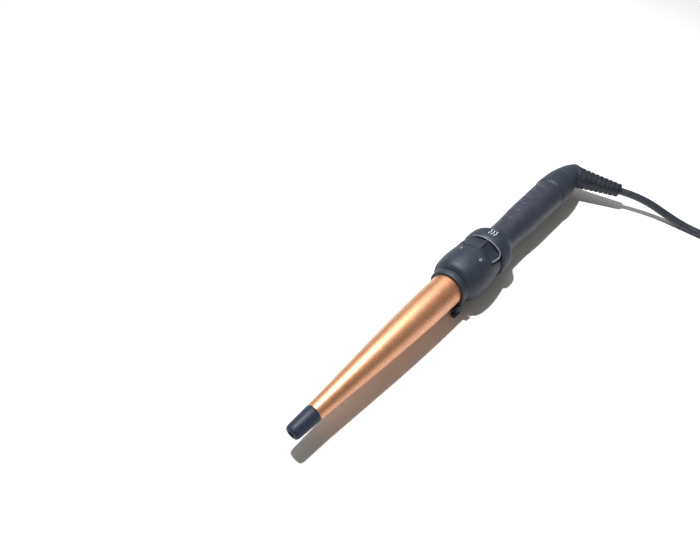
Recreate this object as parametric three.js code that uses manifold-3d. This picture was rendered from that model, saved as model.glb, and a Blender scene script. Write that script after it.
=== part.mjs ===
// Cone-barrelled curling wand with a rocker switch, a fold-out rest and a swivelling cord outlet.
// Millimetres, +Z up. Inside the wand group, x runs along the wand's axis: a station is the
// distance behind the front of the cool tip, so a point at station s lies at x = -s.
import * as THREE from 'three';
import { mergeVertices } from 'three/addons/utils/BufferGeometryUtils.js';
import Module from 'manifold-3d';

const wasm = await Module();
wasm.setup();

// ---- driving dimensions ----
const WAND_LENGTH = 355; // cool tip to the end of the swivel head
const AXIS_HEIGHT = 19.6; // the axis above the table, and the radius of the switch collar
const GAP = 0.3; // running gap between neighbouring pieces
const ROUND = 32; // facets round the large turned pieces
const SMALL_ROUND = 10; // facets round pins, screws and leads

const TIP_LENGTH = 20; // black cool tip
const TIP_RADIUS = 6.2; // barrel radius at the cool tip
const BARREL_END = 172; // the barrel's rear edge, inside the housing
const BARREL_RADIUS = 12.5; // barrel radius at the collar: a 25 mm wand
const BARREL_WALL = 1;
const COLLAR_FRONT = 155;
const COLLAR_REAR = 160.4;
const COLLAR_RADIUS = 15.2;
const HOUSING_FRONT = 161.2;
const HOUSING_REAR = 298.6;

const ROCKER_FRONT = 188.8; // stations of the rocker's two side faces
const ROCKER_REAR = 199.2;
const ROCKER_PIVOT = 9; // the rocker's pin above the wand's axis
const ROCKER_REST = 8; // degrees that the 0 side is pressed below level
const BEZEL_MARGIN = 1.9; // bezel outside the rocker, along the axis
const OPENING_HALF = 14.3; // half width of the rocker's opening

const REST_PIVOT_STATION = 154.3;
const REST_PIVOT_DEPTH = 14.4; // the rest's hinge below the axis
const REST_THICKNESS = 3.2;
const REST_PIN_RADIUS = 0.9;
const HINGE_BORE = 1.2; // radius of the hinge's holes
const LUG = { front: 152.6, rear: 158, inner: 11.2, outer: 13.2, bottom: -16.1, top: -8.8 };

const CAP_FRONT = 299.6; // fixed end cap of the handle
const CAP_REAR = 321.9;
const HEAD_FRONT = 322.2; // turning swivel head
const JOURNAL_RADIUS = 8.2;
const JOURNAL_FRONT = 306;
const BOOT_STATION = 338.4; // where the cord boot's line crosses the axis
const BOOT_LEAN = 18; // degrees that the boot leans to the rear
const BOOT_DROOP = 4; // degrees that it points down
const BOOT_REACH = 44; // end of the boot, from the axis
const BOOT_BASE_RADIUS = 8.4;
const BOOT_END_RADIUS = 5.3;
const BOOT_RIBS = 9;

const CORD_RADIUS = 3;
const COIL_CENTRE = [-143, 186];
const COIL_TURN_RADII = [43, 25]; // the outermost and innermost turns of the bottom layer
const COIL_FLOOR = 1; // the tie runs under the coil
const COIL_TOP = 12.3;
const TIE_WIDTH = 8;
const TIE_THICKNESS = 0.7;
const PLUG_LENGTH = 34;
const PLUG_WIDTH = 30;
const PLUG_HEIGHT = 13;

// The cord's free stretch, from the boot to the coil, and from the coil to the plug.
const CORD_ROUTE = [
  [-174.6, 42.1, 16.5], [-177.5, 51.6, 15.6], [-180.1, 60.8, 14], [-182.3, 70, 11.5],
  [-184, 79.5, 8.4], [-185.1, 89, 5.7], [-185.7, 98.5, 3.9], [-186, 108, 3.2],
  [-186.1, 118, 3.1], [-186.1, 128, 3.1], [-186.1, 138, 3.3], [-186, 148, 3.6],
  [-186, 155, 3.8], [-186, 161.8, 4],
];
const TAIL_ROUTE = [
  [-114, 226, 8.4], [-108, 226.1, 6.5], [-102, 226.3, 4.8], [-96, 226.4, 3.6],
  [-89, 226.3, 3.3], [-83, 226.1, 4.2], [-78, 226, 5.7], [-74, 226, 6.4], [-70.5, 226, 6.5],
];

// ---- finishes ----
const finish = (color, roughness, metalness) => ({ color, roughness, metalness });
const FINISHES = {
  copper: finish(0xd29a70, 0.38, 0.75),
  tip: finish(0x0e131c, 0.15, 0),
  satin: finish(0x23272f, 0.45, 0),
  grip: finish(0x2b2e35, 0.75, 0),
  switchBlack: finish(0x191b20, 0.35, 0),
  cord: finish(0x1b1d22, 0.6, 0),
  steel: finish(0xb9bcc0, 0.35, 1),
  brass: finish(0xc9a04c, 0.35, 1),
  aluminium: finish(0xc4c6c9, 0.4, 1),
  ceramic: finish(0xe9e4da, 0.5, 0),
  phenolic: finish(0x5a3a28, 0.6, 0),
  board: finish(0x2f6b3c, 0.6, 0),
  component: finish(0x22303a, 0.5, 0),
  leadRed: finish(0x9c2f2a, 0.6, 0),
  leadBlue: finish(0x2a4a8c, 0.6, 0),
};

function piece(parent, name, geometry, finishName) {
  const mesh = new THREE.Mesh(geometry, new THREE.MeshStandardMaterial(FINISHES[finishName]));
  mesh.name = name;
  parent.add(mesh);
  return mesh;
}

// ---- joining and cutting ----
function solid(geometry) {
  const bare = geometry.clone();
  bare.deleteAttribute('normal');
  bare.deleteAttribute('uv');
  const merged = mergeVertices(bare, 1e-4);
  const vertProperties = new Float32Array(merged.attributes.position.array);
  const triVerts = new Uint32Array(merged.index.array);
  return new wasm.Manifold(new wasm.Mesh({ numProp: 3, vertProperties, triVerts }));
}

function geometryOf(manifold) {
  const mesh = manifold.getMesh();
  const geometry = new THREE.BufferGeometry();
  geometry.setAttribute('position', new THREE.BufferAttribute(mesh.vertProperties, 3));
  geometry.setIndex(new THREE.BufferAttribute(mesh.triVerts, 1));
  geometry.computeVertexNormals();
  return geometry;
}

function carve(geometry, { join = [], cut = [], keep = [] }) {
  let result = solid(geometry);
  for (const tool of join) result = result.add(solid(tool));
  for (const tool of keep) result = result.intersect(solid(tool));
  for (const tool of cut) result = result.subtract(solid(tool));
  return geometryOf(result);
}

// ---- shapes, all in the wand group's frame ----
// A solid of revolution about the wand's axis. The profile is a list of [station, radius], with
// outer surfaces running to the rear. It closes on itself unless it starts and ends on the axis.
function turned(profile, segments = ROUND) {
  const points = profile.map(([station, radius]) => new THREE.Vector2(radius, station));
  const onAxis = points[0].x === 0 && points[points.length - 1].x === 0;
  if (!onAxis) points.push(points[0].clone());
  const geometry = new THREE.LatheGeometry(points, segments);
  return geometry.rotateZ(Math.PI / 2);
}

function ring(front, rear, inner, outer, segments = ROUND) {
  return turned([[front, inner], [front, outer], [rear, outer], [rear, inner]], segments);
}

// A box between two stations, two widths and two heights.
function block([front, rear], [right, left], [bottom, top]) {
  const geometry = new THREE.BoxGeometry(rear - front, left - right, top - bottom);
  return geometry.translate(-(front + rear) / 2, (right + left) / 2, (bottom + top) / 2);
}

// A round rod along the wand, across it or upright.
function rodAlong(front, rear, radius, y = 0, z = 0, segments = SMALL_ROUND) {
  const geometry = new THREE.CylinderGeometry(radius, radius, rear - front, segments);
  return geometry.rotateZ(Math.PI / 2).translate(-(front + rear) / 2, y, z);
}

function rodAcross(station, from, to, radius, z, segments = SMALL_ROUND) {
  const geometry = new THREE.CylinderGeometry(radius, radius, to - from, segments);
  return geometry.translate(-station, (from + to) / 2, z);
}

function rodUpright(station, bottom, top, radius, y = 0, segments = SMALL_ROUND) {
  const geometry = new THREE.CylinderGeometry(radius, radius, top - bottom, segments);
  return geometry.rotateX(Math.PI / 2).translate(-station, y, (bottom + top) / 2);
}

function circleSection(radius, sides) {
  const section = new THREE.Shape();
  for (let i = 0; i < sides; i += 1) {
    const angle = (i / sides) * 2 * Math.PI;
    const x = radius * Math.cos(angle);
    const y = radius * Math.sin(angle);
    if (i === 0) section.moveTo(x, y);
    else section.lineTo(x, y);
  }
  return section;
}

function tube(points, radius, sides, steps) {
  const places = points.map((p) => new THREE.Vector3(...p));
  const curve = new THREE.CatmullRomCurve3(places, false, 'centripetal');
  const section = circleSection(radius, sides);
  return new THREE.ExtrudeGeometry(section, { steps, extrudePath: curve, bevelEnabled: false });
}

// The barrel widens along an eased quarter sine from the cool tip to the collar, then runs straight.
const BARREL_EASE = 1.1;
function barrelRadius(station) {
  const share = Math.min(1, (station - TIP_LENGTH) / (COLLAR_FRONT - TIP_LENGTH)) ** BARREL_EASE;
  return TIP_RADIUS + (BARREL_RADIUS - TIP_RADIUS) * Math.sin((share * Math.PI) / 2);
}

function stations(from, to, count) {
  return Array.from({ length: count + 1 }, (_, i) => from + ((to - from) * i) / count);
}

// Stands a shape drawn as [across, up] upright, so that its thickness runs along the wand.
const acrossWand = new THREE.Matrix4().makeBasis(
  new THREE.Vector3(0, 1, 0),
  new THREE.Vector3(0, 0, 1),
  new THREE.Vector3(1, 0, 0),
);

const wand = new THREE.Group();
wand.position.set(WAND_LENGTH / 2, 0, AXIS_HEIGHT);

// ---- cool tip and barrel ----
const tipProfile = [
  [2.6, 2.4], [0.2, 2.4], [0, 3.1], [0.4, 4.2], [1.4, 5], [3.2, 5.4], [10, 5.7],
  [TIP_LENGTH - GAP, TIP_RADIUS - 0.05], [TIP_LENGTH - GAP, 4.8], [27, 4.8], [27, 1.3], [2.6, 1.3],
];
piece(wand, 'cool_tip', turned(tipProfile), 'tip');
const screwProfile = [[0.9, 0], [0.9, 2], [2.3, 2], [2.3, 1], [34, 1], [34, 0]];
piece(wand, 'tip_screw', turned(screwProfile, SMALL_ROUND), 'steel');

const barrelStations = stations(TIP_LENGTH, COLLAR_FRONT, 6);
const barrelProfile = [
  ...barrelStations.map((s) => [s, barrelRadius(s)]),
  [BARREL_END, BARREL_RADIUS], [BARREL_END, BARREL_RADIUS - BARREL_WALL],
  ...[...barrelStations].reverse().map((s) => [s, barrelRadius(s) - BARREL_WALL]),
];
piece(wand, 'barrel', turned(barrelProfile), 'copper');

piece(wand, 'tip_anchor', ring(28, 33, 1.3, 5.1, 16), 'aluminium');

// Two half-round aluminium blocks press a ceramic heating plate against the barrel.
const HEATER = { front: 44, rear: 150, halfWidth: 4, halfThickness: 1.2 };
const blockStations = stations(HEATER.front - 2, HEATER.rear - 2, 5);
const blockRadius = (s) => barrelRadius(s) - BARREL_WALL - GAP - 0.1;
const blockProfile = [
  [blockStations[0], 0], ...blockStations.map((s) => [s, blockRadius(s)]), [HEATER.rear - 2, 0],
];
const heaterSlot = HEATER.halfThickness + GAP;
const blockHalves = [
  ['heat_block_upper', [heaterSlot, BARREL_RADIUS]],
  ['heat_block_lower', [-BARREL_RADIUS, -heaterSlot]],
];
for (const [name, heights] of blockHalves) {
  const half = block([HEATER.front - 10, HEATER.rear + 5], [-BARREL_RADIUS, BARREL_RADIUS], heights);
  piece(wand, name, carve(turned(blockProfile, 24), { keep: [half] }), 'aluminium');
}
const plateSide = [-HEATER.halfWidth, HEATER.halfWidth];
const plateHeight = [-HEATER.halfThickness, HEATER.halfThickness];
piece(wand, 'heater_plate', block([HEATER.front, HEATER.rear], plateSide, plateHeight), 'ceramic');
piece(wand, 'temperature_sensor', rodAlong(HEATER.rear, HEATER.rear + 6, 1.2, 0, 6), 'ceramic');
piece(wand, 'thermal_fuse', rodAlong(HEATER.rear, HEATER.rear + 11, 1.7, 0, -6), 'aluminium');

// ---- collar and fold-out rest ----
const collarProfile = [
  [COLLAR_FRONT, BARREL_RADIUS + GAP], [COLLAR_FRONT, COLLAR_RADIUS - 0.7],
  [COLLAR_FRONT + 0.6, COLLAR_RADIUS - 0.2], [COLLAR_REAR, COLLAR_RADIUS],
  [COLLAR_REAR, BARREL_RADIUS + GAP],
];
const lugs = [];
const lugBores = [];
for (const side of [-1, 1]) {
  const across = [side * LUG.inner, side * LUG.outer].sort((a, b) => a - b);
  lugs.push(block([LUG.front, LUG.rear], across, [LUG.bottom, LUG.top]));
  lugBores.push(rodAcross(REST_PIVOT_STATION, across[0] - 1, across[1] + 1, HINGE_BORE, -REST_PIVOT_DEPTH));
}
const collarInside = rodAlong(LUG.front - 2, COLLAR_REAR + 2, BARREL_RADIUS + GAP, 0, 0, ROUND);
const collar = carve(turned(collarProfile), { join: lugs, cut: [...lugBores, collarInside] });
piece(wand, 'collar_ring', collar, 'satin');

// A crescent that hugs the underside of the collar and stands on a flat sole, with a foot at each
// end that reaches forwards and to the side.
const REST = { half: 10.9, lip: 9.7, shoulder: -12.6, waist: -15.4, sole: 7.5, hug: COLLAR_RADIUS + 0.7 };
const FOOT = { front: 151.5, inner: 9.2, outer: 13.2, top: -17 };
const restFront = REST_PIVOT_STATION + 0.9;
const restShape = new THREE.Shape();
const hugAngle = Math.acos(REST.lip / REST.hug);
restShape.moveTo(-REST.half, REST.shoulder);
restShape.lineTo(-REST.half, REST.waist);
restShape.quadraticCurveTo(-REST.half + 0.4, -AXIS_HEIGHT, -REST.sole, -AXIS_HEIGHT);
restShape.lineTo(REST.sole, -AXIS_HEIGHT);
restShape.quadraticCurveTo(REST.half - 0.4, -AXIS_HEIGHT, REST.half, REST.waist);
restShape.lineTo(REST.half, REST.shoulder);
restShape.lineTo(REST.lip, REST.shoulder);
restShape.absarc(0, 0, REST.hug, -hugAngle, -Math.PI + hugAngle, true);
restShape.closePath();
const restPlate = new THREE.ExtrudeGeometry(restShape, {
  depth: REST_THICKNESS,
  bevelEnabled: false,
  curveSegments: 10,
});
restPlate.applyMatrix4(acrossWand).translate(-(restFront + REST_THICKNESS), 0, 0);
const KNUCKLE_RADIUS = 1.85;
const KNUCKLE_WIDTH = 1.9;
const restJoins = [];
const knuckleBores = [];
for (const side of [-1, 1]) {
  const from = Math.min(side * (REST.half - KNUCKLE_WIDTH), side * REST.half);
  const to = from + KNUCKLE_WIDTH;
  const across = [side * FOOT.inner, side * FOOT.outer].sort((a, b) => a - b);
  restJoins.push(rodAcross(REST_PIVOT_STATION, from, to, KNUCKLE_RADIUS, -REST_PIVOT_DEPTH));
  restJoins.push(block([FOOT.front, restFront + REST_THICKNESS], across, [-AXIS_HEIGHT, FOOT.top]));
  knuckleBores.push(rodAcross(REST_PIVOT_STATION, from - 1, to + 1, HINGE_BORE, -REST_PIVOT_DEPTH));
}
piece(wand, 'rest_stand', carve(restPlate, { join: restJoins, cut: knuckleBores }), 'satin');
const PIN_LENGTH = 3.7;
const pinInner = LUG.outer - 0.2 - PIN_LENGTH;
for (const [name, from] of [['rest_pin_right', pinInner], ['rest_pin_left', -LUG.outer + 0.2]]) {
  const pin = rodAcross(REST_PIVOT_STATION, from, from + PIN_LENGTH, REST_PIN_RADIUS, -REST_PIVOT_DEPTH);
  piece(wand, name, pin, 'steel');
}

// ---- housing: two half shells from the collar to the end of the handle ----
const shellOuter = [
  [HOUSING_FRONT, 13.9], [162.6, 15.2], [164.6, 16.8], [168, 18.2], [172.5, 19.1], [178, 19.5],
  [184, 19.3], [190, 18.7], [196, 17.8], [200.2, 17], [201, 18.9], [202.6, AXIS_HEIGHT],
  [209.5, AXIS_HEIGHT], [212.8, 18.8], [216.2, 16.8], [218.9, 14.2], [221, 12.7], [224, 12.1],
  [235, 12.05], [243, 12.3], [251, 12.8], [259, 13.2], [274, 13.4], [290, 13.5], [HOUSING_REAR, 13.5],
];
const shellInner = [
  [HOUSING_REAR, 11.5], [259, 11.2], [243, 10.3], [225, 10.1], [220.5, 11.5], [216, 14.6],
  [210.5, 17.1], [203.5, 17.3], [199.5, 15.2], [190, 16.6], [178, 17.4], [169, 16.3], [165, 14.4],
  [163.4, BARREL_RADIUS + 0.4], [HOUSING_FRONT, BARREL_RADIUS + 0.4],
];
const shell = turned([...shellOuter, ...shellInner]);

function radiusAt(profile, station) {
  const after = profile.findIndex(([s]) => s >= station);
  const [s0, r0] = profile[Math.max(0, after - 1)];
  const [s1, r1] = profile[after];
  return s1 === s0 ? r1 : r0 + ((r1 - r0) * (station - s0)) / (s1 - s0);
}

const SCREW_STATIONS = [178, 208, 254, 287];
const SCREW_HEAD_DEPTH = 4.2; // a screw's seat below the lower shell's outer surface
const SCREW = { head: 2.2, headHeight: 1.6, shank: 1, pilot: 1.35, counterbore: 2.5 };
const BOSS_RADIUS = 2.8;
const LOWER_BOSS_RADIUS = 3.6;
const upperBosses = [];
const upperBores = [];
const lowerBosses = [];
const lowerBores = [];
for (const station of SCREW_STATIONS) {
  const outer = radiusAt(shellOuter, station);
  const top = outer - 1;
  const seat = -(outer - SCREW_HEAD_DEPTH);
  const upperDepth = Math.min(top - 2.6, 9.3);
  upperBosses.push(rodUpright(station, GAP / 2, top, BOSS_RADIUS));
  upperBores.push(rodUpright(station, -1, upperDepth, SCREW.pilot));
  lowerBosses.push(rodUpright(station, -top, -GAP / 2, LOWER_BOSS_RADIUS));
  lowerBores.push(rodUpright(station, -outer, 1, SCREW.pilot));
  lowerBores.push(rodUpright(station, -outer - 2, seat, SCREW.counterbore));
  const underHead = seat - GAP;
  const headEnd = underHead - SCREW.headHeight;
  const shankEnd = upperDepth - 2 * GAP;
  const screw = turned(
    [
      [headEnd, 0], [headEnd, SCREW.head], [underHead, SCREW.head], [underHead, SCREW.shank],
      [shankEnd, SCREW.shank], [shankEnd, 0],
    ],
    SMALL_ROUND,
  );
  screw.rotateY(Math.PI / 2).translate(-station, 0, 0);
  piece(wand, `housing_screw_${SCREW_STATIONS.indexOf(station) + 1}`, screw, 'steel');
}

const bezelStations = [ROCKER_FRONT - BEZEL_MARGIN, ROCKER_REAR + 1.5];
const BEZEL_HALF = OPENING_HALF + 1;
const FAR = 25; // farther from the axis than any part of the housing
const shellWindow = block(
  [bezelStations[0] - GAP, bezelStations[1] + GAP],
  [-BEZEL_HALF - GAP, BEZEL_HALF + GAP],
  [6, FAR],
);
const housingStations = [HOUSING_FRONT - 5, HOUSING_REAR + 5];
const upperSide = block(housingStations, [-FAR, FAR], [GAP / 2, FAR]);
const lowerSide = block(housingStations, [-FAR, FAR], [-FAR, -GAP / 2]);
const upper = carve(shell, { join: upperBosses, keep: [upperSide], cut: [...upperBores, shellWindow] });
const lower = carve(shell, { join: lowerBosses, keep: [lowerSide], cut: lowerBores });
piece(wand, 'upper_housing', upper, 'satin');
piece(wand, 'lower_housing', lower, 'satin');

piece(wand, 'barrel_bush', ring(167, 171, BARREL_RADIUS + GAP, 15), 'phenolic');

// ---- rocker switch ----
const bezelBlank = ring(bezelStations[0], bezelStations[1], 15.8, 19.5);
const bezelOuter = block(bezelStations, [-BEZEL_HALF, BEZEL_HALF], [6, FAR]);
const openingStations = [ROCKER_FRONT - 0.4, ROCKER_REAR + 0.4];
const bezelOpening = block(openingStations, [-OPENING_HALF, OPENING_HALF], [5, FAR + 1]);
piece(wand, 'switch_bezel', carve(bezelBlank, { keep: [bezelOuter], cut: [bezelOpening] }), 'switchBlack');

// The rocker's outline across the wand, about its pin, with both sides level.
const rockerShape = new THREE.Shape();
rockerShape.moveTo(-13.2, 5.4);
rockerShape.lineTo(-12.6, 3);
rockerShape.lineTo(-3.4, -1.6);
rockerShape.quadraticCurveTo(0, -4, 3.4, -1.6);
rockerShape.lineTo(12.6, 3);
rockerShape.lineTo(13.2, 5.4);
rockerShape.quadraticCurveTo(7, 8.2, 0, 9.3);
rockerShape.quadraticCurveTo(-7, 8.2, -13.2, 5.4);
rockerShape.holes.push(new THREE.Path().absarc(0, 0, 1.5, 0, 2 * Math.PI, true));
const rocker = new THREE.ExtrudeGeometry(rockerShape, {
  depth: ROCKER_REAR - ROCKER_FRONT,
  bevelEnabled: false,
  curveSegments: 6,
});
rocker.applyMatrix4(acrossWand).rotateX(THREE.MathUtils.degToRad(-ROCKER_REST));
rocker.translate(-ROCKER_REAR, 0, ROCKER_PIVOT);
piece(wand, 'rocker_switch', rocker, 'switchBlack');

// The switch's body carries the rocker's pin in two ears, one before the rocker and one behind it.
const SWITCH = { front: 185.6, rear: 202.4, half: 7, bottom: -5, top: 3.6 };
const EAR = { thickness: 2.8, half: 3.5, bottom: 2, top: 11.6 };
piece(wand, 'rocker_pin', rodAlong(SWITCH.front, SWITCH.rear, 1.2, 0, ROCKER_PIVOT), 'steel');
const switchEars = [
  block([SWITCH.front, SWITCH.front + EAR.thickness], [-EAR.half, EAR.half], [EAR.bottom, EAR.top]),
  block([SWITCH.rear - EAR.thickness, SWITCH.rear], [-EAR.half, EAR.half], [EAR.bottom, EAR.top]),
];
const switchBore = rodAlong(SWITCH.front - 1, SWITCH.rear + 1, 1.5, 0, ROCKER_PIVOT);
const switchBlock = block(
  [SWITCH.front, SWITCH.rear],
  [-SWITCH.half, SWITCH.half],
  [SWITCH.bottom, SWITCH.top],
);
piece(wand, 'switch_body', carve(switchBlock, { join: switchEars, cut: [switchBore] }), 'switchBlack');
const TERMINAL = { front: 191, rear: 197, thickness: 0.8, length: 5.2 };
const terminalTop = SWITCH.bottom - GAP;
for (const [name, y] of [['switch_terminal_1', -4], ['switch_terminal_2', 4]]) {
  const thick = [y - TERMINAL.thickness / 2, y + TERMINAL.thickness / 2];
  const blade = block([TERMINAL.front, TERMINAL.rear], thick, [terminalTop - TERMINAL.length, terminalTop]);
  piece(wand, name, blade, 'brass');
}

// ---- control board ----
const BOARD = { front: 218, rear: 249, half: 7.5, top: -4.2, thickness: 1.6 };
const boardHeight = [BOARD.top - BOARD.thickness, BOARD.top];
const board = block([BOARD.front, BOARD.rear], [-BOARD.half, BOARD.half], boardHeight);
piece(wand, 'control_board', board, 'board');
const onBoard = BOARD.top + GAP;
piece(wand, 'triac', block([236, 241], [-5, 5], [onBoard, onBoard + 8]), 'component');
piece(wand, 'capacitor', rodUpright(228, onBoard, onBoard + 9, 3, 3), 'component');
piece(wand, 'board_fuse', rodAlong(222, 234, 1.3, -3.6, onBoard + 1.4), 'ceramic');

// ---- leads inside the wand ----
for (const [name, side, color] of [['heater_lead_1', -1, 'leadRed'], ['heater_lead_2', 1, 'leadBlue']]) {
  const path = [
    [-150.4, side * 2.4, 0], [-160, side * 3.2, 0], [-172, side * 7.2, -3], [-186, side * 10, -5],
    [-202, side * 9.8, -5.4], [-211, side * 7.8, -5.2], [-217.6, side * 6.2, -5],
  ];
  piece(wand, name, tube(path, 0.8, 5, 12), color);
}
for (const [name, side, color] of [['supply_lead_1', -1, 'leadRed'], ['supply_lead_2', 1, 'leadBlue']]) {
  const path = [
    [-249.4, side * 5.6, -5], [-256, side * 6.6, -4], [-272, side * 6.8, -1], [-285, side * 6.8, 0],
    [-293.4, side * 5.4, 0],
  ];
  piece(wand, name, tube(path, 0.8, 5, 8), color);
}

// ---- cord swivel ----
piece(wand, 'brush_holder', ring(294, 297.6, 1, 10.9, 16), 'phenolic');
piece(wand, 'brush_inner', rodAlong(298, 302.2, 0.9, 2.75), 'brass');
piece(wand, 'brush_outer', rodAlong(298, 302.2, 0.9, -5.75), 'brass');
const capProfile = [
  [CAP_FRONT, 11.9], [CAP_FRONT, 13.1], [300.6, 14], [302.6, 14.4], [305.5, 14.3], [311, 13.95],
  [317, 13.5], [CAP_REAR, 13.05], [CAP_REAR, 8.6], [314, 8.6], [314, 11.9],
];
piece(wand, 'rear_cap', turned(capProfile), 'grip');

const headInside = [
  [352.4, 0], [349.5, 3], [344.5, 5.8], [339.5, 7.6], [333, 9.2], [325.2, 10.6], [325.2, 5],
];
const journal = [
  [JOURNAL_FRONT, 5], [JOURNAL_FRONT, JOURNAL_RADIUS], [308.6, JOURNAL_RADIUS], [308.6, 7.2],
  [310.2, 7.2], [310.2, JOURNAL_RADIUS],
];
const headOutside = [
  [HEAD_FRONT, JOURNAL_RADIUS], [HEAD_FRONT, 12.9], [326.5, 12.3], [331.5, 11.3], [336.5, 10.1],
  [341.5, 8.6], [346, 6.8], [350, 4.7], [353.2, 2.5], [WAND_LENGTH, 0],
];
const bootTurn = new THREE.Matrix4()
  .makeTranslation(-BOOT_STATION, 0, 0)
  .multiply(new THREE.Matrix4().makeRotationZ(THREE.MathUtils.degToRad(BOOT_LEAN)))
  .multiply(new THREE.Matrix4().makeRotationX(THREE.MathUtils.degToRad(-BOOT_DROOP)));
const bootHole = new THREE.CylinderGeometry(BOOT_BASE_RADIUS + 0.35, BOOT_BASE_RADIUS + 0.35, 24, 20);
bootHole.translate(0, 13, 0).applyMatrix4(bootTurn);
const head = carve(turned([...headInside, ...journal, ...headOutside]), { cut: [bootHole] });
piece(wand, 'swivel_head', head, 'grip');

// A tapering boot: each rib is a land followed by a narrower, deeper neck.
function bootRadius(reach) {
  return THREE.MathUtils.mapLinear(reach, 10, BOOT_REACH, BOOT_BASE_RADIUS, BOOT_END_RADIUS);
}
const RIB = { first: 14, last: 42.5, depth: 0.9, land: 0.62 };
const bootProfile = [[0, 4], [BOOT_BASE_RADIUS, 4], [bootRadius(12), 12]];
const ribPitch = (RIB.last - RIB.first) / BOOT_RIBS;
for (let i = 0; i < BOOT_RIBS; i += 1) {
  const from = RIB.first + i * ribPitch;
  const to = from + ribPitch * RIB.land;
  bootProfile.push([bootRadius(from) - RIB.depth, from - 0.2], [bootRadius(from), from]);
  bootProfile.push([bootRadius(to), to], [bootRadius(to) - RIB.depth, to + 0.2]);
}
bootProfile.push([BOOT_END_RADIUS - 0.6, BOOT_REACH], [0, BOOT_REACH]);
const boot = new THREE.LatheGeometry(bootProfile.map(([r, y]) => new THREE.Vector2(r, y)), 12);
piece(wand, 'cord_boot', boot.applyMatrix4(bootTurn), 'cord');

piece(wand, 'retaining_ring', ring(308.9, 309.9, 7.5, 11, 16), 'steel');
piece(wand, 'swivel_washer', ring(310.9, 313.6, JOURNAL_RADIUS + GAP, 11.4, 16), 'phenolic');
piece(wand, 'contact_disc', ring(303.9, 305.7, 1, 7.6, 16), 'phenolic');
piece(wand, 'slip_ring_inner', ring(302.6, 303.6, 2, 3.5, 16), 'brass');
piece(wand, 'slip_ring_outer', ring(302.6, 303.6, 5, 6.5, 16), 'brass');
const swivelLeadPath = [
  [-306.2, 0, 0], [-318, 0, 0], [-328, 0, 0], [-335, 0.7, 0], [-338.4, 2.6, -0.2],
];
piece(wand, 'swivel_lead', tube(swivelLeadPath, 1.6, 6, 8), 'cord');

// ---- mains cord, coil and plug ----
const cordSet = new THREE.Group();
piece(cordSet, 'mains_cord', tube(CORD_ROUTE, CORD_RADIUS, 8, 20), 'cord');
piece(cordSet, 'mains_cord_tail', tube(TAIL_ROUTE, CORD_RADIUS, 8, 9), 'cord');

const coilOuter = COIL_TURN_RADII[0] + CORD_RADIUS + 0.1;
const coilInner = COIL_TURN_RADII[1] - CORD_RADIUS - 0.1;
const coilProfile = [
  [coilInner, COIL_FLOOR], [coilOuter, COIL_FLOOR], [coilOuter, 6.6], [coilOuter - 3, COIL_TOP],
  [coilInner + 3, COIL_TOP], [coilInner, 6.6], [coilInner, COIL_FLOOR],
];
const coil = new THREE.LatheGeometry(coilProfile.map(([r, z]) => new THREE.Vector2(r, z)), ROUND);
coil.rotateX(Math.PI / 2).translate(COIL_CENTRE[0], COIL_CENTRE[1], 0);
piece(cordSet, 'cord_coil', coil, 'cord');

function bandOutline(grow) {
  const inner = coilInner - 0.7 - grow;
  const outer = coilOuter + 0.4 + grow;
  const bottom = COIL_FLOOR - GAP - grow;
  const top = COIL_TOP + GAP + grow;
  return [[inner, bottom], [outer, bottom], [outer, top], [inner, top]];
}
const tieShape = new THREE.Shape(bandOutline(TIE_THICKNESS).map(([r, z]) => new THREE.Vector2(r, z)));
tieShape.holes.push(new THREE.Path(bandOutline(0).map(([r, z]) => new THREE.Vector2(r, z))));
const tie = new THREE.ExtrudeGeometry(tieShape, { depth: TIE_WIDTH, bevelEnabled: false });
tie.rotateX(Math.PI / 2).translate(COIL_CENTRE[0], COIL_CENTRE[1] + TIE_WIDTH / 2, 0);
piece(cordSet, 'coil_tie', tie, 'grip');

// A flat two-pin plug lying beside the coil, pins towards the wand's tip.
const plugBack = TAIL_ROUTE[TAIL_ROUTE.length - 1][0] + GAP;
const plugY = TAIL_ROUTE[TAIL_ROUTE.length - 1][1];
const plugShape = new THREE.Shape();
plugShape.moveTo(0, -5);
plugShape.lineTo(12, -6.5);
plugShape.quadraticCurveTo(18, -PLUG_WIDTH / 2, 24, -PLUG_WIDTH / 2);
plugShape.lineTo(PLUG_LENGTH, -PLUG_WIDTH / 2);
plugShape.lineTo(PLUG_LENGTH, PLUG_WIDTH / 2);
plugShape.lineTo(24, PLUG_WIDTH / 2);
plugShape.quadraticCurveTo(18, PLUG_WIDTH / 2, 12, 6.5);
plugShape.lineTo(0, 5);
const plug = new THREE.ExtrudeGeometry(plugShape, {
  depth: PLUG_HEIGHT,
  bevelEnabled: false,
  curveSegments: 6,
});
piece(cordSet, 'plug_body', plug.translate(plugBack, plugY, 0), 'cord');
const PIN = { radius: 2, length: 19, spread: 9.3 };
const pinMiddle = plugBack + PLUG_LENGTH + GAP + PIN.length / 2;
for (const [name, side] of [['plug_pin_1', -1], ['plug_pin_2', 1]]) {
  const pin = new THREE.CylinderGeometry(PIN.radius, PIN.radius, PIN.length, SMALL_ROUND);
  pin.rotateZ(Math.PI / 2).translate(pinMiddle, plugY + side * PIN.spread, PLUG_HEIGHT / 2);
  piece(cordSet, name, pin, 'brass');
}

const group = new THREE.Group();
group.add(wand, cordSet);
export default group;
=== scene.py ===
"""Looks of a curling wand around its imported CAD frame: copper barrel, dark handle and mains cord."""

import math

import bmesh
import bpy
from bpy.props import FloatProperty, FloatVectorProperty, IntProperty, PointerProperty
from mathutils import Matrix, Vector


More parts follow.
